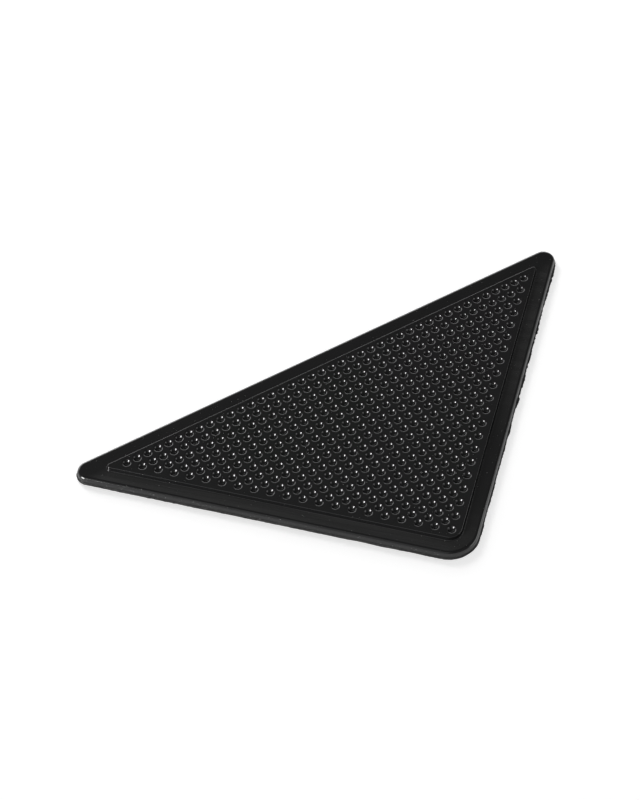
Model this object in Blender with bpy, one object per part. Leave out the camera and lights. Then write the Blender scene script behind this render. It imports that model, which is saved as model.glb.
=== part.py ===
"""Snowboard stomp pad: a right-angled triangular rubber grip pad on double-sided foam tape.

Frame: +X along the long edge, +Z up, the right-angled corner towards -Y.
Origin: centre of the pad's bounding box in plan, on the surface that the release liner rests on.

From the top down:
  traction_pad          one rubber moulding: rim, raised field and 441 round dimples
  pad_side_adhesive     adhesive film between the moulding and the foam
  foam_tape_carrier     closed-cell foam core of the double-sided tape
  board_side_adhesive   adhesive film that sticks to the board
  release_liner_left    half of the split release liner, pulled away towards -X
  release_liner_right   the other half, pulled away towards +X
"""

from math import cos, pi, radians, sin, sqrt, tan

import bmesh
import bpy
from mathutils import Vector
from mathutils.geometry import delaunay_2d_cdt

MM = 0.001

# Dimples: a square grid in rows along the long edge, so that it runs at 45 degrees to the legs.
DIMPLES_PER_LEG = 21
LEG_PITCH = 6.0 * MM
ROW_PITCH = LEG_PITCH / sqrt(2.0)
DIMPLE_MOUTH_RADIUS = 1.85 * MM
DIMPLE_FLOOR_RADIUS = 0.9 * MM
DIMPLE_DEPTH = 1.05 * MM
DIMPLE_SIDES = 6

# Plan of the moulding: how far each outline lies outside the outermost dimple centres,
# as (beyond the long row, beyond the rows along the legs).
FIELD_EDGE = (3.0 * MM, 3.6 * MM)
FIELD_DRAFT = 0.4 * MM
RIM_WIDTH = (7.1 * MM, 6.3 * MM)
OUTER_EDGE = (FIELD_EDGE[0] + RIM_WIDTH[0], FIELD_EDGE[1] + RIM_WIDTH[1])
OUTER_RIGHT_RADIUS = 11.2 * MM
OUTER_ACUTE_RADIUS = 4.7 * MM
FIELD_RIGHT_RADIUS = 4.7 * MM
FIELD_ACUTE_RADIUS = 1.0 * MM
ARC_STEPS = 8

# Layers, from the resting surface up.
FILM_GAP = 0.1 * MM
LINER_THICKNESS = 0.2 * MM
LINER_INSET = 0.4 * MM
LINER_SLIT = 0.4 * MM
ADHESIVE_THICKNESS = 0.1 * MM
ADHESIVE_INSET = 0.1 * MM
FOAM_THICKNESS = 0.4 * MM
RIM_THICKNESS = 2.4 * MM
RIM_DRAFT = radians(12.0)
RIM_EDGE_RADIUS = 1.3 * MM
RIM_EDGE_STEPS = 4
FIELD_RISE = 1.5 * MM

BOARD_ADHESIVE_BASE = LINER_THICKNESS + FILM_GAP
FOAM_BASE = BOARD_ADHESIVE_BASE + ADHESIVE_THICKNESS + FILM_GAP
PAD_ADHESIVE_BASE = FOAM_BASE + FOAM_THICKNESS + FILM_GAP
PAD_BASE = PAD_ADHESIVE_BASE + ADHESIVE_THICKNESS + FILM_GAP
RIM_TOP = PAD_BASE + RIM_THICKNESS
FIELD_TOP = RIM_TOP + FIELD_RISE

# The rounded outline's depth in Y centres it on the origin.
GRID_DEPTH = (DIMPLES_PER_LEG - 1) * ROW_PITCH
SHARP_DEPTH = OUTER_EDGE[0] + GRID_DEPTH + OUTER_EDGE[1] * sqrt(2.0)
OUTLINE_DEPTH = SHARP_DEPTH - OUTER_RIGHT_RADIUS * (sqrt(2.0) - 1.0)
LONG_ROW_Y = OUTLINE_DEPTH / 2.0 - OUTER_EDGE[0]

RUBBER_BLACK = (0.008, 0.008, 0.008)
FOAM_BLACK = (0.014, 0.014, 0.014)
ADHESIVE_GREY = (0.045, 0.045, 0.045)
LINER_BUFF = (0.62, 0.55, 0.42)
SHARP_EDGE_ANGLE = radians(35.0)
SAME_POINT = 1e-7


def remove_objects():
    for existing in list(bpy.data.objects):
        bpy.data.objects.remove(existing, do_unlink=True)


def make_material(name, colour, roughness):
    material = bpy.data.materials.new(name)
    material.use_nodes = True
    shader = material.node_tree.nodes["Principled BSDF"]
    shader.inputs["Base Color"].default_value = (*colour, 1.0)
    shader.inputs["Roughness"].default_value = roughness
    shader.inputs["Metallic"].default_value = 0.0
    material.diffuse_color = (*colour, 1.0)
    return material


def rounded_corner(corner, heading_in, heading_out, radius):
    """Points of the arc that rounds a corner, from the edge that arrives to the edge that leaves."""
    turn = heading_in.angle(heading_out)
    start = corner - heading_in * radius * tan(turn / 2.0)
    inward = Vector((-heading_in.y, heading_in.x))
    points = []
    for step in range(ARC_STEPS + 1):
        angle = turn * step / ARC_STEPS
        points.append(start + heading_in * radius * sin(angle) + inward * radius * (1.0 - cos(angle)))
    return points


def rounded_triangle(edge, inset, right_radius, acute_radius):
    """Outline that lies an inset inside the given edges, anticlockwise from the -X corner."""
    long_edge_y = LONG_ROW_Y + edge[0] - inset
    right_corner_y = LONG_ROW_Y - GRID_DEPTH - (edge[1] - inset) * sqrt(2.0)
    half_width = long_edge_y - right_corner_y
    down_left_leg = Vector((1.0, -1.0)).normalized()
    up_right_leg = Vector((1.0, 1.0)).normalized()
    along_long_edge = Vector((-1.0, 0.0))
    left = Vector((-half_width, long_edge_y))
    right = Vector((half_width, long_edge_y))
    front = Vector((0.0, right_corner_y))
    return (
        rounded_corner(left, along_long_edge, down_left_leg, acute_radius)
        + rounded_corner(front, down_left_leg, up_right_leg, right_radius)
        + rounded_corner(right, up_right_leg, along_long_edge, acute_radius)
    )


def outer_outline(inset):
    return rounded_triangle(OUTER_EDGE, inset, OUTER_RIGHT_RADIUS - inset, OUTER_ACUTE_RADIUS - inset)


def left_of_slit(outline):
    """The part of an outline on the -X side of the liner's slit."""
    limit = -LINER_SLIT / 2.0
    kept = []
    for index, point in enumerate(outline):
        previous = outline[index - 1]
        if (previous.x <= limit) != (point.x <= limit):
            share = (limit - previous.x) / (point.x - previous.x)
            kept.append(previous.lerp(point, share))
        if point.x <= limit:
            kept.append(point)
    return kept


def mirrored(outline):
    return [Vector((-point.x, point.y)) for point in reversed(outline)]


def dimple_centres():
    """Rows run along the long edge, each row one dimple shorter at both ends than the last."""
    centres = []
    for row in range(DIMPLES_PER_LEG):
        reach = DIMPLES_PER_LEG - 1 - row
        for place in range(-reach, reach + 1):
            centres.append(Vector((place * ROW_PITCH, LONG_ROW_Y - row * ROW_PITCH)))
    return centres


def dimple_ring(centre, radius):
    corners = []
    for side in range(DIMPLE_SIDES):
        angle = 2.0 * pi * side / DIMPLE_SIDES
        corners.append(centre + Vector((cos(angle), sin(angle))) * radius)
    return corners


def add_ring(mesh, outline, height):
    return [mesh.verts.new((point.x, point.y, height)) for point in outline]


def add_wall(mesh, lower, upper):
    for index in range(len(lower)):
        mesh.faces.new((lower[index - 1], lower[index], upper[index], upper[index - 1]))


def add_object(name, mesh, material):
    """Turn a bmesh into a linked object with smooth round surfaces and sharp edges."""
    bmesh.ops.recalc_face_normals(mesh, faces=mesh.faces)
    data = bpy.data.meshes.new(name)
    mesh.to_mesh(data)
    mesh.free()
    data.materials.append(material)
    data.shade_smooth()
    data.set_sharp_from_angle(angle=SHARP_EDGE_ANGLE)
    piece = bpy.data.objects.new(name, data)
    bpy.context.scene.collection.objects.link(piece)


def add_layer(name, outline, base, thickness, material):
    """A flat die-cut layer: the outline extruded upwards."""
    mesh = bmesh.new()
    lower = add_ring(mesh, outline, base)
    upper = add_ring(mesh, outline, base + thickness)
    mesh.faces.new(reversed(lower))
    mesh.faces.new(upper)
    add_wall(mesh, lower, upper)
    add_object(name, mesh, material)


def add_dimple(mesh, mouth, centre):
    """A faceted dimple under its mouth in the field: a sloping wall, then a flat floor."""
    floor = add_ring(mesh, dimple_ring(centre, DIMPLE_FLOOR_RADIUS), FIELD_TOP - DIMPLE_DEPTH)
    add_wall(mesh, floor, mouth)
    mesh.faces.new(floor)


def add_field_top(mesh, edge_ring, field_outline):
    """The field's flat top with a mouth cut for each dimple, and the dimples below the mouths."""
    centres = dimple_centres()
    points = list(field_outline)
    for centre in centres:
        points.extend(dimple_ring(centre, DIMPLE_MOUTH_RADIUS))
    edge_count = len(field_outline)
    loops = [list(range(edge_count))]
    for number in range(len(centres)):
        first = edge_count + number * DIMPLE_SIDES
        loops.append(list(range(first, first + DIMPLE_SIDES)))
    only_inside = 1
    flat, _, faces, vertex_sources, _, face_sources = delaunay_2d_cdt(
        points, [], loops, only_inside, SAME_POINT
    )
    verts = []
    vert_of_point = {}
    for point, sources in zip(flat, vertex_sources):
        on_field_edge = sources[0] < edge_count
        vert = edge_ring[sources[0]] if on_field_edge else mesh.verts.new((point.x, point.y, FIELD_TOP))
        verts.append(vert)
        vert_of_point[sources[0]] = vert
    for face, sources in zip(faces, face_sources):
        inside_a_mouth = any(source > 0 for source in sources)
        if not inside_a_mouth:
            mesh.faces.new([verts[index] for index in face])
    for centre, loop in zip(centres, loops[1:]):
        add_dimple(mesh, [vert_of_point[index] for index in loop], centre)


def add_traction_pad(material):
    """Rim with a drafted side and a rounded edge, a drafted step up to the field, and the dimples."""
    mesh = bmesh.new()
    rings = [add_ring(mesh, outer_outline(0.0), PAD_BASE)]
    mesh.faces.new(reversed(rings[0]))
    side_top = RIM_TOP - RIM_EDGE_RADIUS * (1.0 - sin(RIM_DRAFT))
    arc_inset = (side_top - PAD_BASE) * tan(RIM_DRAFT) + RIM_EDGE_RADIUS * cos(RIM_DRAFT)
    for step in range(RIM_EDGE_STEPS + 1):
        angle = RIM_DRAFT + (pi / 2.0 - RIM_DRAFT) * step / RIM_EDGE_STEPS
        inset = arc_inset - RIM_EDGE_RADIUS * cos(angle)
        height = RIM_TOP - RIM_EDGE_RADIUS * (1.0 - sin(angle))
        rings.append(add_ring(mesh, outer_outline(inset), height))
    foot = rounded_triangle(
        FIELD_EDGE, -FIELD_DRAFT, FIELD_RIGHT_RADIUS + FIELD_DRAFT, FIELD_ACUTE_RADIUS + FIELD_DRAFT
    )
    field_outline = rounded_triangle(FIELD_EDGE, 0.0, FIELD_RIGHT_RADIUS, FIELD_ACUTE_RADIUS)
    rings.append(add_ring(mesh, foot, RIM_TOP))
    rings.append(add_ring(mesh, field_outline, FIELD_TOP))
    for lower, upper in zip(rings, rings[1:]):
        add_wall(mesh, lower, upper)
    add_field_top(mesh, rings[-1], field_outline)
    add_object("traction_pad", mesh, material)


def add_foam_tape(foam, adhesive):
    film_outline = outer_outline(ADHESIVE_INSET)
    add_layer("board_side_adhesive", film_outline, BOARD_ADHESIVE_BASE, ADHESIVE_THICKNESS, adhesive)
    add_layer("foam_tape_carrier", outer_outline(0.0), FOAM_BASE, FOAM_THICKNESS, foam)
    add_layer("pad_side_adhesive", film_outline, PAD_ADHESIVE_BASE, ADHESIVE_THICKNESS, adhesive)


def add_release_liner(material):
    left_half = left_of_slit(outer_outline(LINER_INSET))
    add_layer("release_liner_left", left_half, 0.0, LINER_THICKNESS, material)
    add_layer("release_liner_right", mirrored(left_half), 0.0, LINER_THICKNESS, material)


def main():
    remove_objects()
    rubber = make_material("black_rubber", RUBBER_BLACK, 0.3)
    foam = make_material("black_foam", FOAM_BLACK, 0.85)
    adhesive = make_material("acrylic_adhesive", ADHESIVE_GREY, 0.25)
    liner = make_material("siliconised_paper", LINER_BUFF, 0.4)
    add_traction_pad(rubber)
    add_foam_tape(foam, adhesive)
    add_release_liner(liner)


main()
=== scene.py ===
"""Looks of the snowboard stomp pad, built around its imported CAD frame."""

from math import cos, pi, radians, sin, sqrt, tan

import bpy
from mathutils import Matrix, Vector, noise
from mathutils.geometry import delaunay_2d_cdt


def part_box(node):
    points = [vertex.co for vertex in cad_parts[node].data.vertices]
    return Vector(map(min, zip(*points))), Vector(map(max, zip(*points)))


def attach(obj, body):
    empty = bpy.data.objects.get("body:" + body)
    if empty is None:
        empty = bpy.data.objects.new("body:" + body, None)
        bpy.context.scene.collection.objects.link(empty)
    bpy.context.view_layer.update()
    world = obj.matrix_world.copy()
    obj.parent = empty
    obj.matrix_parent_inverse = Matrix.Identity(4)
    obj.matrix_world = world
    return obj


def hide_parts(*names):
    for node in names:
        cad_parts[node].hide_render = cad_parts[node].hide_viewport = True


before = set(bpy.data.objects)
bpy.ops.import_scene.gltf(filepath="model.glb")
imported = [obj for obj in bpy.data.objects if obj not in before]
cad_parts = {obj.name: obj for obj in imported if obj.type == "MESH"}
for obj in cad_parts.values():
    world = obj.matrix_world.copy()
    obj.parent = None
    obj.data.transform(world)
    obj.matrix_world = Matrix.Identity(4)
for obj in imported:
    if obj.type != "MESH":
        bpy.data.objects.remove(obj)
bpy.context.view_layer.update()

MM = 0.001

# ---------------------------------------------------------------- driving dimensions

# Dimples: a square grid in rows along the long edge.
DIMPLES_PER_LEG = 21
ROW_PITCH = 6.0 * MM / sqrt(2.0)
DIMPLE_RADIUS = 2.0 * MM
DIMPLE_LIP_RADIUS = 0.9 * MM
DIMPLE_WALL_ANGLE = radians(56.0)
DIMPLE_SIDES = 28
LIP_STEPS = 6
BOWL_STEPS = 6
FLAT_MARGIN = 0.03 * MM
WELD_DISTANCE = 1e-8

# Plan, as (beyond the long row, beyond the rows along the legs).
FIELD_EDGE = (3.0 * MM, 3.6 * MM)
RIM_WIDTH = (7.1 * MM, 6.3 * MM)
OUTER_EDGE = (FIELD_EDGE[0] + RIM_WIDTH[0], FIELD_EDGE[1] + RIM_WIDTH[1])
OUTER_RIGHT_RADIUS = 11.2 * MM
OUTER_ACUTE_RADIUS = 4.7 * MM
FIELD_RIGHT_RADIUS = 4.7 * MM
FIELD_ACUTE_RADIUS = 1.0 * MM
ARC_STEPS = 20
GRID_DEPTH = (DIMPLES_PER_LEG - 1) * ROW_PITCH

# Section through the moulding's edge and its step.
MOULDING_INSET = 0.25 * MM
EDGE_DRAFT = radians(7.0)
RIM_EDGE_RADIUS = 1.3 * MM
RIM_EDGE_STEPS = 8
FIELD_RISE = 1.5 * MM
STEP_WALL_INSET = 0.45 * MM
STEP_FOOT_RADIUS = 0.15 * MM
FIELD_EDGE_RADIUS = 0.35 * MM
FILLET_STEPS = 5
UNDERSIDE_CHAMFER_WIDTH = 0.1 * MM
UNDERSIDE_CHAMFER_HEIGHT = 0.05 * MM
MOULDING_SHARP_ANGLE = radians(60.0)

# Narrow bands that keep the flats flat beside the roundings.
RIM_OUTER_BAND = 0.15 * MM
RIM_INNER_BAND = 0.1 * MM
FIELD_BAND = 0.05 * MM

# Heights come from the CAD nodes.
PAD_LOW, PAD_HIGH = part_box("traction_pad")
FOAM_LOW, FOAM_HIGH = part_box("foam_tape_carrier")
LINER_LOW, LINER_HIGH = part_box("release_liner_left")
FIELD_TOP = PAD_HIGH.z
RIM_TOP = FIELD_TOP - FIELD_RISE
LONG_ROW_Y = PAD_HIGH.y - OUTER_EDGE[0]

# Tape and liner. Each adhesive film has a share of the foam's raggedness.
TAPE_STEP = 0.7 * MM
TAPE_RAGGEDNESS = 0.32 * MM
BOARD_FILM_SHARE = 0.6
PAD_FILM_SHARE = 0.4
FILM_INSET = 0.05 * MM
FOAM_BULGE = 0.06 * MM
LAYER_SOFTNESS = 0.05 * MM
LAYER_SHARP_ANGLE = radians(50.0)
LINER_INSET = 0.4 * MM
LINER_SLIT = 0.4 * MM

# The tape's ragged edge: it stands out a little, with two sizes of features, given per metre and
# as shares of the raggedness, and it grows looser towards the right-hand tip.
OUTWARD_SHARE = 0.25
COARSE_WAVES = 160.0
COARSE_SHARE = 0.9
FINE_WAVES = 900.0
FINE_SHARE = 0.6
LOOSE_FROM_X = 25.0 * MM
LOOSE_OVER = 40.0 * MM
EXTRA_LOOSENESS = 1.5

# Painted sheen on the flat of the rim, a lighter colour that stands in for soft highlights: the
# stretches over which it fades out, as (from, to).
# The first is measured back from the long edge, the other two along X.
SHEEN_BEFORE_LONG_EDGE = (11.0 * MM, 7.0 * MM)
SHEEN_LEFT_LEG_ENDS = (-5.0 * MM, 15.0 * MM)
SHEEN_RIGHT_TIP_STARTS = (35.0 * MM, 60.0 * MM)

# Camera: its lens in millimetres, where it stands from the middle of the long row in metres,
# and how it is turned from looking straight down in degrees.
CAMERA_LENS = 89.1
CAMERA_FROM_LONG_ROW = (-0.2096, -0.4136, 0.5721)
CAMERA_TURN = (38.03, 2.449, -29.379)

# Lights: azimuth clockwise from straight ahead of the camera, elevation, distance,
# width, height, radiance. Angles are in degrees and lengths in metres.
CAMERA_HEADING = radians(26.25)
STRONG_SOFTBOX = (-118.0, 20.0, 1.2, 0.46, 0.52, 32.0)
WEAK_SOFTBOX = (97.0, 11.0, 1.2, 0.9, 0.55, 2.2)
BACK_PANEL = (-14.0, 13.0, 1.2, 1.7, 0.8, 1.9)
BACK_LEFT_PANEL = (-38.0, 9.0, 1.1, 0.8, 0.5, 1.6)
FRONT_PANEL = (-152.0, 40.0, 1.2, 0.8, 1.1, 0.42)
FLOOR_FILL = (-30.0, 38.0, 1.3, 0.36, 0.36, 17.0)

FLOOR_GLOW = 0.62
FLOOR_HALF_WIDTH = 8.0
FLOOR_GAP = 0.02 * MM

# Sky: brightness at each elevation in degrees.
SKY_STRENGTH = 1.3
SKY_LEVELS = (
    (0.0, 1.0), (7.0, 0.9), (13.0, 0.5), (20.0, 0.17),
    (48.0, 0.14), (56.0, 0.22), (63.0, 0.1), (90.0, 0.15),
)


# ---------------------------------------------------------------- outlines

def rounded_corner(corner, heading_in, heading_out, radius):
    """Points of the arc that rounds a corner, from the edge that arrives to the edge that leaves."""
    turn = heading_in.angle(heading_out)
    start = corner - heading_in * radius * tan(turn / 2.0)
    inward = Vector((-heading_in.y, heading_in.x))
    points = []
    for step in range(ARC_STEPS + 1):
        angle = turn * step / ARC_STEPS
        points.append(start + heading_in * radius * sin(angle) + inward * radius * (1.0 - cos(angle)))
    return points


def rounded_triangle(edge, inset, right_radius, acute_radius):
    """Outline that lies an inset inside the given edges, anticlockwise from the -X corner."""
    long_edge_y = LONG_ROW_Y + edge[0] - inset
    right_corner_y = LONG_ROW_Y - GRID_DEPTH - (edge[1] - inset) * sqrt(2.0)
    half_width = long_edge_y - right_corner_y
    down_left_leg = Vector((1.0, -1.0)).normalized()
    up_right_leg = Vector((1.0, 1.0)).normalized()
    along_long_edge = Vector((-1.0, 0.0))
    left = Vector((-half_width, long_edge_y))
    right = Vector((half_width, long_edge_y))
    front = Vector((0.0, right_corner_y))
    return (
        rounded_corner(left, along_long_edge, down_left_leg, acute_radius)
        + rounded_corner(front, down_left_leg, up_right_leg, right_radius)
        + rounded_corner(right, up_right_leg, along_long_edge, acute_radius)
    )


def outer_outline(inset):
    return rounded_triangle(OUTER_EDGE, inset, OUTER_RIGHT_RADIUS - inset, OUTER_ACUTE_RADIUS - inset)


def field_outline(inset):
    return rounded_triangle(FIELD_EDGE, inset, FIELD_RIGHT_RADIUS - inset, FIELD_ACUTE_RADIUS - inset)


def resampled(outline, step):
    """The outline with its long stretches cut into pieces no longer than a step."""
    points = []
    for index, point in enumerate(outline):
        previous = outline[index - 1]
        count = max(1, int((point - previous).length / step))
        for piece in range(count):
            points.append(previous.lerp(point, piece / count))
    return points


def left_of_slit(outline):
    """The part of an outline on the -X side of the liner's slit."""
    limit = -LINER_SLIT / 2.0
    kept = []
    for index, point in enumerate(outline):
        previous = outline[index - 1]
        if (previous.x <= limit) != (point.x <= limit):
            share = (limit - previous.x) / (point.x - previous.x)
            kept.append(previous.lerp(point, share))
        if point.x <= limit:
            kept.append(point)
    return kept


def mirrored(outline):
    return [Vector((-point.x, point.y)) for point in reversed(outline)]


def outward_normals(outline):
    normals = []
    for index, point in enumerate(outline):
        after = outline[(index + 1) % len(outline)]
        before = outline[index - 1]
        along = (after - before).normalized()
        normals.append(Vector((along.y, -along.x)))
    return normals


# ---------------------------------------------------------------- mesh building

class Shell:
    """Vertices and faces collected for one mesh."""

    def __init__(self):
        self.verts = []
        self.faces = []

    def ring(self, outline, height):
        first = len(self.verts)
        self.verts.extend((point.x, point.y, height) for point in outline)
        return list(range(first, first + len(outline)))

    def wall(self, lower, upper):
        for index in range(len(lower)):
            self.faces.append((lower[index - 1], lower[index], upper[index], upper[index - 1]))

    def cap(self, ring, facing_up):
        self.faces.append(tuple(ring) if facing_up else tuple(reversed(ring)))

    def make(self, name, material, sharp_angle):
        data = bpy.data.meshes.new(name)
        data.from_pydata(self.verts, [], self.faces)
        data.materials.append(material)
        data.shade_smooth()
        data.set_sharp_from_angle(angle=sharp_angle)
        piece = bpy.data.objects.new(name, data)
        bpy.context.scene.collection.objects.link(piece)
        return piece


# ---------------------------------------------------------------- the moulding

def dimple_centres():
    centres = []
    for row in range(DIMPLES_PER_LEG):
        reach = DIMPLES_PER_LEG - 1 - row
        for place in range(-reach, reach + 1):
            centres.append(Vector((place * ROW_PITCH, LONG_ROW_Y - row * ROW_PITCH)))
    return centres


def dimple_profile():
    """(radius, depth) from the mouth inwards: a rounded lip, then a spherical bowl."""
    wall_radius = DIMPLE_RADIUS - DIMPLE_LIP_RADIUS * sin(DIMPLE_WALL_ANGLE)
    bowl_radius = wall_radius / sin(DIMPLE_WALL_ANGLE)
    lip_depth = DIMPLE_LIP_RADIUS * (1.0 - cos(DIMPLE_WALL_ANGLE))
    profile = []
    for step in range(LIP_STEPS + 1):
        angle = DIMPLE_WALL_ANGLE * step / LIP_STEPS
        lip_radius = DIMPLE_RADIUS - DIMPLE_LIP_RADIUS * sin(angle)
        profile.append((lip_radius, DIMPLE_LIP_RADIUS * (1.0 - cos(angle))))
    for step in range(1, BOWL_STEPS):
        angle = DIMPLE_WALL_ANGLE * (1.0 - step / BOWL_STEPS)
        drop = bowl_radius * (cos(angle) - cos(DIMPLE_WALL_ANGLE))
        profile.append((bowl_radius * sin(angle), lip_depth + drop))
    profile.append((0.0, lip_depth + bowl_radius * (1.0 - cos(DIMPLE_WALL_ANGLE))))
    return profile


def circle(centre, radius):
    points = []
    for side in range(DIMPLE_SIDES):
        angle = 2.0 * pi * side / DIMPLE_SIDES
        points.append(centre + Vector((cos(angle), sin(angle))) * radius)
    return points


def add_dimple(shell, mouth, centre, profile):
    outer = mouth
    for radius, depth in profile[:-1]:
        inner = shell.ring(circle(centre, radius), FIELD_TOP - depth)
        shell.wall(inner, outer)
        outer = inner
    bottom = len(shell.verts)
    shell.verts.append((centre.x, centre.y, FIELD_TOP - profile[-1][1]))
    for side in range(DIMPLE_SIDES):
        shell.faces.append((outer[side - 1], outer[side], bottom))


def add_field_top(shell, edge_ring, outline):
    """Flat land between the dimples, then each dimple under its mouth."""
    centres = dimple_centres()
    points = list(outline)
    edge_count = len(points)
    loops = [list(range(edge_count))]
    for centre in centres:
        first = len(points)
        points.extend(circle(centre, DIMPLE_RADIUS + FLAT_MARGIN))
        loops.append(list(range(first, first + DIMPLE_SIDES)))
    only_inside = 1
    flat, _, faces, vertex_sources, _, face_sources = delaunay_2d_cdt(
        points, [], loops, only_inside, WELD_DISTANCE
    )
    number_of = {}
    numbers = []
    for point, sources in zip(flat, vertex_sources):
        if sources[0] < edge_count:
            number = edge_ring[sources[0]]
        else:
            number = len(shell.verts)
            shell.verts.append((point.x, point.y, FIELD_TOP))
        numbers.append(number)
        number_of[sources[0]] = number
    for face, sources in zip(faces, face_sources):
        if not any(source > 0 for source in sources):
            shell.faces.append(tuple(numbers[index] for index in face))
    profile = dimple_profile()
    for centre, loop in zip(centres, loops[1:]):
        add_dimple(shell, [number_of[index] for index in loop], centre, profile)


def moulding_section():
    """Rings from the top of the drafted wall in to the field's edge, as (outline, height)."""
    rings = []
    wall_top = RIM_TOP - RIM_EDGE_RADIUS * (1.0 - sin(EDGE_DRAFT))
    wall_lean = (wall_top - PAD_LOW.z) * tan(EDGE_DRAFT)
    arc_inset = MOULDING_INSET + wall_lean + RIM_EDGE_RADIUS * cos(EDGE_DRAFT)
    for step in range(RIM_EDGE_STEPS + 1):
        angle = EDGE_DRAFT + (pi / 2.0 - EDGE_DRAFT) * step / RIM_EDGE_STEPS
        inset = arc_inset - RIM_EDGE_RADIUS * cos(angle)
        rings.append((outer_outline(inset), RIM_TOP - RIM_EDGE_RADIUS * (1.0 - sin(angle))))
    rings.append((outer_outline(arc_inset + RIM_OUTER_BAND), RIM_TOP))
    wall_start = STEP_FOOT_RADIUS + STEP_WALL_INSET
    rings.append((field_outline(-wall_start - RIM_INNER_BAND), RIM_TOP))
    for step in range(FILLET_STEPS + 1):
        angle = pi / 2.0 * step / FILLET_STEPS
        out = wall_start - STEP_FOOT_RADIUS * sin(angle)
        rings.append((field_outline(-out), RIM_TOP + STEP_FOOT_RADIUS * (1.0 - cos(angle))))
    for step in range(FILLET_STEPS + 1):
        angle = pi / 2.0 * step / FILLET_STEPS
        inset = FIELD_EDGE_RADIUS * (1.0 - cos(angle))
        rings.append((field_outline(inset), FIELD_TOP - FIELD_EDGE_RADIUS * (1.0 - sin(angle))))
    rings.append((field_outline(FIELD_EDGE_RADIUS + FIELD_BAND), FIELD_TOP))
    return rings


def add_moulding(material):
    """The rubber moulding, from its underside up to the dimpled field."""
    shell = Shell()
    underside = shell.ring(outer_outline(MOULDING_INSET + UNDERSIDE_CHAMFER_WIDTH), PAD_LOW.z)
    shell.cap(underside, facing_up=False)
    below = shell.ring(outer_outline(MOULDING_INSET), PAD_LOW.z + UNDERSIDE_CHAMFER_HEIGHT)
    shell.wall(underside, below)
    section = moulding_section()
    for outline, height in section:
        ring = shell.ring(outline, height)
        shell.wall(below, ring)
        below = ring
    add_field_top(shell, below, section[-1][0])
    piece = shell.make("rubber_moulding", material, MOULDING_SHARP_ANGLE)
    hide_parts("traction_pad")
    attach(piece, "pad")


# ---------------------------------------------------------------- tape and liner

def looseness(x):
    """1 on the left, growing towards the right-hand tip."""
    share = (x - LOOSE_FROM_X) / LOOSE_OVER
    return 1.0 + EXTRA_LOOSENESS * min(1.0, max(0.0, share))


def ragged(outline, reach, seed):
    """The die cut's rough edge: each point moved outwards or inwards by smooth noise."""
    moved = []
    for point, normal in zip(outline, outward_normals(outline)):
        loose = looseness(point.x)
        coarse = noise.noise(Vector((point.x, point.y, seed)) * COARSE_WAVES)
        fine = noise.noise(Vector((point.x, point.y, seed + 3.0)) * FINE_WAVES)
        swing = COARSE_SHARE * coarse + FINE_SHARE * fine
        moved.append(point + normal * reach * (OUTWARD_SHARE + loose * swing))
    return moved


def add_layer(name, node, body, outline, low, high, bulge, material):
    """A die-cut layer with softened upper and lower edges."""
    shell = Shell()
    soft = min(LAYER_SOFTNESS, (high - low) / 3.0)
    rings = [
        (low, -soft),
        (low + soft, 0.0),
        ((low + high) / 2.0, bulge),
        (high - soft, 0.0),
        (high, -soft),
    ]
    normals = outward_normals(outline)
    below = None
    for height, out in rings:
        shifted = [point + normal * out for point, normal in zip(outline, normals)]
        ring = shell.ring(shifted, height)
        if below is None:
            shell.cap(ring, facing_up=False)
        else:
            shell.wall(below, ring)
        below = ring
    shell.cap(below, facing_up=True)
    piece = shell.make(name, material, LAYER_SHARP_ANGLE)
    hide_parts(node)
    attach(piece, body)


def add_foam_tape(foam, adhesive):
    """The foam between its two adhesive films, which fill the gaps to the liner and the moulding."""
    film = resampled(outer_outline(FILM_INSET), TAPE_STEP)
    core = resampled(outer_outline(0.0), TAPE_STEP)
    add_layer(
        "board_side_adhesive_film", "board_side_adhesive", "pad",
        ragged(film, TAPE_RAGGEDNESS * BOARD_FILM_SHARE, seed=11.0),
        LINER_HIGH.z, FOAM_LOW.z, 0.0, adhesive,
    )
    add_layer(
        "foam_tape", "foam_tape_carrier", "pad",
        ragged(core, TAPE_RAGGEDNESS, seed=23.0),
        FOAM_LOW.z, FOAM_HIGH.z, FOAM_BULGE, foam,
    )
    add_layer(
        "pad_side_adhesive_film", "pad_side_adhesive", "pad",
        ragged(film, TAPE_RAGGEDNESS * PAD_FILM_SHARE, seed=37.0),
        FOAM_HIGH.z, PAD_LOW.z, 0.0, adhesive,
    )


def add_release_liner(material):
    """The two halves of the liner, mirror images on either side of the slit."""
    left = left_of_slit(resampled(outer_outline(LINER_INSET), TAPE_STEP))
    for side, outline in (("left", left), ("right", mirrored(left))):
        add_layer(
            "release_liner_sheet_" + side, "release_liner_" + side, "liner_" + side,
            outline, LINER_LOW.z, LINER_HIGH.z, 0.0, material,
        )


# ---------------------------------------------------------------- materials

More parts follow.
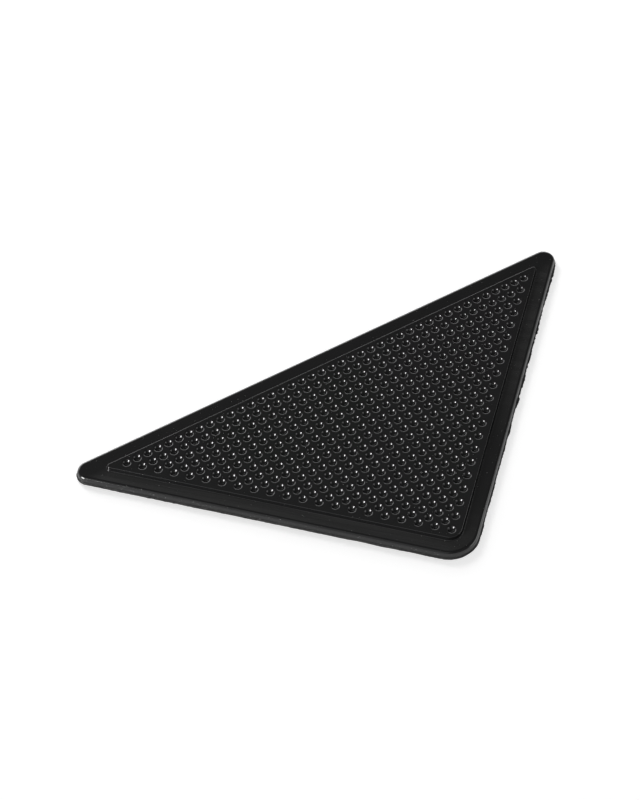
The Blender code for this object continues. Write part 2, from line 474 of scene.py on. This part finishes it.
class Nodes:
    """Short calls for building a material's node tree."""

    def __init__(self, name):
        self.material = bpy.data.materials.new(name)
        self.material.use_nodes = True
        self.tree = self.material.node_tree
        self.shader = self.tree.nodes["Principled BSDF"]
        self.place = self.tree.nodes.new("ShaderNodeTexCoord").outputs["Object"]

    def add(self, kind, **settings):
        node = self.tree.nodes.new(kind)
        for key, value in settings.items():
            setattr(node, key, value)
        return node

    def link(self, source, target):
        self.tree.links.new(source, target)

    def noise(self, scale, detail=3.0, rough=0.5, stretch=None):
        """Noise with features about 1 / scale metres across, drawn out along a heading by a factor."""
        node = self.add("ShaderNodeTexNoise")
        node.inputs["Scale"].default_value = scale
        node.inputs["Detail"].default_value = detail
        node.inputs["Roughness"].default_value = rough
        source = self.place
        if stretch:
            heading, factor = stretch
            mapping = self.add("ShaderNodeMapping", vector_type="TEXTURE")
            mapping.inputs["Rotation"].default_value = (0.0, 0.0, heading)
            mapping.inputs["Scale"].default_value = (factor, 1.0, 1.0)
            self.link(source, mapping.inputs["Vector"])
            source = mapping.outputs["Vector"]
        self.link(source, node.inputs["Vector"])
        return node.outputs["Fac"]

    def between(self, value, low, high, to_low, to_high):
        """A straight ramp from to_low at low to to_high at high, level beyond both."""
        node = self.add("ShaderNodeMapRange", clamp=True)
        self.link(value, node.inputs["Value"])
        node.inputs["From Min"].default_value = low
        node.inputs["From Max"].default_value = high
        node.inputs["To Min"].default_value = to_low
        node.inputs["To Max"].default_value = to_high
        return node.outputs["Result"]

    def math(self, operation, first, second):
        """Arithmetic on two values, each a number or another node's output."""
        node = self.add("ShaderNodeMath", operation=operation)
        for socket, value in zip(node.inputs, (first, second)):
            if isinstance(value, float):
                socket.default_value = value
            else:
                self.link(value, socket)
        return node.outputs["Value"]

    def mix(self, factor, first, second):
        """Blend of two colours, each a tuple or another node's output. 6, 7 and 2 are colour sockets."""
        node = self.add("ShaderNodeMix", data_type="RGBA")
        self.link(factor, node.inputs["Factor"])
        for socket, value in ((node.inputs[6], first), (node.inputs[7], second)):
            if isinstance(value, tuple):
                socket.default_value = (*value, 1.0)
            else:
                self.link(value, socket)
        return node.outputs[2]

    def bump(self, height, strength, distance):
        node = self.add("ShaderNodeBump")
        node.inputs["Strength"].default_value = strength
        node.inputs["Distance"].default_value = distance
        self.link(height, node.inputs["Height"])
        return node.outputs["Normal"]

    def set(self, **values):
        """Set or link the shader's sockets, named with underscores for spaces."""
        for key, value in values.items():
            socket = self.shader.inputs[key.replace("_", " ")]
            if hasattr(value, "links"):
                self.link(value, socket)
            else:
                socket.default_value = (*value, 1.0) if isinstance(value, tuple) else value


def rim_flat(n, height):
    """1 on the flat of the rim, 0 on the side and on the field."""
    above_edge = n.between(height, RIM_TOP - 0.02 * MM, RIM_TOP - 0.002 * MM, 0.0, 1.0)
    below_field = n.between(height, RIM_TOP + 0.05 * MM, RIM_TOP + 0.15 * MM, 1.0, 0.0)
    return n.math("MULTIPLY", above_edge, below_field)


def painted_rim_sheen(n, place):
    """Painted sheen: lighter streaks parallel to the left leg on stretches of the rim, standing in for
    soft highlights.
    """
    fade_from, fade_to = SHEEN_BEFORE_LONG_EDGE
    along_legs = n.between(place["Y"], PAD_HIGH.y - fade_from, PAD_HIGH.y - fade_to, 1.0, 0.0)
    left_leg = n.between(place["X"], *SHEEN_LEFT_LEG_ENDS, 1.0, 0.0)
    right_tip = n.between(place["X"], *SHEEN_RIGHT_TIP_STARTS, 0.0, 1.0)
    sheen_area = n.math("MULTIPLY", along_legs, n.math("ADD", left_leg, right_tip))
    sheen_area = n.math("MULTIPLY", sheen_area, rim_flat(n, place["Z"]))
    streaks = n.between(n.noise(420.0, 3.0, 0.5, (radians(-45.0), 20.0)), 0.3, 0.7, 0.4, 1.0)
    return n.math("MULTIPLY", sheen_area, streaks)


def dust_specks(n, height):
    """Fine pale specks, closer together on the side than on top."""
    crowding = n.between(height, RIM_TOP - 1.0 * MM, RIM_TOP - 0.2 * MM, 0.045, 0.0)
    dust = n.math("ADD", n.noise(2600.0, 1.0, 0.4), crowding)
    return n.between(dust, 0.79, 0.81, 0.0, 0.8)


def rubber_material():
    """Black moulded rubber: semi-gloss, with dust, a duller side and a painted sheen in streaks on the
    rim, standing in for soft highlights.
    """
    n = Nodes("moulded_rubber")
    split = n.add("ShaderNodeSeparateXYZ")
    n.link(n.place, split.inputs["Vector"])
    place = split.outputs
    black = n.mix(n.noise(260.0, 4.0), (0.0032, 0.0032, 0.0034), (0.0052, 0.0052, 0.0054))
    # Painted sheen: a lighter grey mixed in on the rim's flat stands in for soft highlights there.
    with_painted_sheen = n.mix(n.math("MULTIPLY", painted_rim_sheen(n, place), 0.36), black, (0.045, 0.045, 0.044))
    colour = n.mix(dust_specks(n, place["Z"]), with_painted_sheen, (0.35, 0.35, 0.34))
    polish = n.between(n.noise(90.0, 4.0, 0.6), 0.3, 0.7, 0.12, 0.18)
    dull_side = n.between(place["Z"], RIM_TOP - 1.3 * MM, RIM_TOP - 0.6 * MM, 0.2, 0.0)
    rough = n.math("ADD", polish, dull_side)
    grain = n.bump(n.noise(3200.0, 2.0), 0.05, 0.004 * MM)
    n.set(Base_Color=colour, Roughness=rough, IOR=1.46, Normal=grain)
    return n.material


def foam_material():
    """Closed-cell foam cut by a die: matt black with open pores."""
    n = Nodes("tape_foam")
    cells = n.add("ShaderNodeTexVoronoi", feature="F1")
    cells.inputs["Scale"].default_value = 5200.0
    n.link(n.place, cells.inputs["Vector"])
    pores = n.between(cells.outputs["Distance"], 0.1, 0.55, 0.0, 1.0)
    colour = n.mix(pores, (0.004, 0.004, 0.004), (0.02, 0.02, 0.021))
    rough = n.between(n.noise(700.0), 0.3, 0.7, 0.8, 0.95)
    relief = n.bump(pores, 0.8, 0.06 * MM)
    n.set(Base_Color=colour, Roughness=rough, Specular_IOR_Level=0.12, Normal=relief)
    return n.material


def adhesive_material():
    """Acrylic adhesive film: smoky, tacky gloss with trapped air."""
    n = Nodes("acrylic_adhesive")
    blotches = n.noise(240.0, 5.0, 0.6)
    colour = n.mix(blotches, (0.012, 0.012, 0.012), (0.026, 0.026, 0.025))
    rough = n.between(blotches, 0.35, 0.65, 0.16, 0.36)
    bubbles = n.add("ShaderNodeTexVoronoi", feature="SMOOTH_F1")
    bubbles.inputs["Scale"].default_value = 900.0
    n.link(n.place, bubbles.inputs["Vector"])
    relief = n.bump(bubbles.outputs["Distance"], 0.25, 0.03 * MM)
    n.set(Base_Color=colour, Roughness=rough, Specular_IOR_Level=0.3, Normal=relief)
    return n.material


def liner_material():
    """Siliconised kraft paper: buff, fibrous and waxy."""
    n = Nodes("liner_paper")
    fibres = n.noise(900.0, 6.0, 0.7, (radians(80.0), 4.5))
    clouds = n.noise(70.0, 3.0)
    base = n.mix(clouds, (0.50, 0.40, 0.26), (0.60, 0.50, 0.35))
    colour = n.mix(n.between(fibres, 0.35, 0.7, 0.0, 0.6), base, (0.36, 0.27, 0.16))
    rough = n.between(fibres, 0.3, 0.7, 0.34, 0.48)
    relief = n.bump(fibres, 0.3, 0.03 * MM)
    n.set(Base_Color=colour, Roughness=rough, Normal=relief)
    return n.material


def floor_material():
    """White studio floor that glows a little, so that only a pale shadow shows on it."""
    n = Nodes("studio_floor")
    colour = n.mix(n.noise(3.0), (0.6, 0.6, 0.6), (0.62, 0.62, 0.62))
    n.set(Base_Color=colour, Roughness=0.9, Emission_Color=(1.0, 1.0, 1.0), Emission_Strength=FLOOR_GLOW)
    return n.material


# ---------------------------------------------------------------- studio

def direction(azimuth, elevation):
    """Unit vector towards an azimuth, clockwise from the camera's heading, and an elevation."""
    turn = CAMERA_HEADING + radians(azimuth)
    lift = radians(elevation)
    return Vector((sin(turn) * cos(lift), cos(turn) * cos(lift), sin(lift)))


def add_softbox(name, box):
    """A rectangular light aimed at the pad."""
    azimuth, elevation, distance, width, height, radiance = box
    towards = direction(azimuth, elevation)
    lamp = bpy.data.lights.new(name, "AREA")
    lamp.shape = "RECTANGLE"
    lamp.size = width
    lamp.size_y = height
    lamp.energy = radiance * pi * width * height
    light = bpy.data.objects.new(name, lamp)
    light.location = towards * distance
    light.rotation_euler = (-towards).to_track_quat("-Z", "Y").to_euler()
    light.visible_camera = False
    bpy.context.scene.collection.objects.link(light)
    return light


def link_to_floor(light, floor, state):
    """INCLUDE: the light falls on the floor alone. EXCLUDE: it falls on everything but the floor."""
    receivers = bpy.data.collections.new(light.name + "_receivers")
    receivers.objects.link(floor)
    receivers.collection_objects[0].light_linking.link_state = state
    light.light_linking.receiver_collection = receivers


def add_world():
    """Dim overhead, white towards the horizon."""
    world = bpy.data.worlds.new("studio")
    bpy.context.scene.world = world
    world.use_nodes = True
    tree = world.node_tree
    place = tree.nodes.new("ShaderNodeTexCoord")
    split = tree.nodes.new("ShaderNodeSeparateXYZ")
    ramp = tree.nodes.new("ShaderNodeValToRGB")
    tree.links.new(place.outputs["Generated"], split.inputs["Vector"])
    tree.links.new(split.outputs["Z"], ramp.inputs["Fac"])
    tree.links.new(ramp.outputs["Color"], tree.nodes["Background"].inputs["Color"])
    tree.nodes["Background"].inputs["Strength"].default_value = SKY_STRENGTH
    stops = ramp.color_ramp.elements
    stops.remove(stops[1])
    for elevation, _ in SKY_LEVELS[1:]:
        stops.new(sin(radians(elevation)))
    for stop, (elevation, level) in zip(stops, SKY_LEVELS):
        stop.position = sin(radians(elevation))
        stop.color = (level, level, level, 1.0)


def add_floor():
    """A level floor just under the liner."""
    data = bpy.data.meshes.new("studio_floor")
    signs = ((-1, -1), (1, -1), (1, 1), (-1, 1))
    corners = [(x * FLOOR_HALF_WIDTH, y * FLOOR_HALF_WIDTH, 0.0) for x, y in signs]
    data.from_pydata(corners, [], [(0, 1, 2, 3)])
    data.materials.append(floor_material())
    floor = bpy.data.objects.new("studio_floor", data)
    floor.location.z = LINER_LOW.z - FLOOR_GAP
    bpy.context.scene.collection.objects.link(floor)
    return floor


def add_camera():
    lens = bpy.data.cameras.new("camera")
    lens.lens = CAMERA_LENS
    camera = bpy.data.objects.new("camera", lens)
    camera.location = Vector(CAMERA_FROM_LONG_ROW) + Vector((0.0, LONG_ROW_Y, FIELD_TOP))
    camera.rotation_euler = [radians(angle) for angle in CAMERA_TURN]
    bpy.context.scene.collection.objects.link(camera)
    bpy.context.scene.camera = camera


add_camera()
add_moulding(rubber_material())
add_foam_tape(foam_material(), adhesive_material())
add_release_liner(liner_material())
floor = add_floor()
add_world()
link_to_floor(add_softbox("strong_softbox", STRONG_SOFTBOX), floor, "EXCLUDE")
add_softbox("weak_softbox", WEAK_SOFTBOX)
add_softbox("back_panel", BACK_PANEL)
add_softbox("back_left_panel", BACK_LEFT_PANEL)
add_softbox("front_panel", FRONT_PANEL)
link_to_floor(add_softbox("floor_fill", FLOOR_FILL), floor, "INCLUDE")
bpy.context.scene.view_settings.view_transform = "Standard"
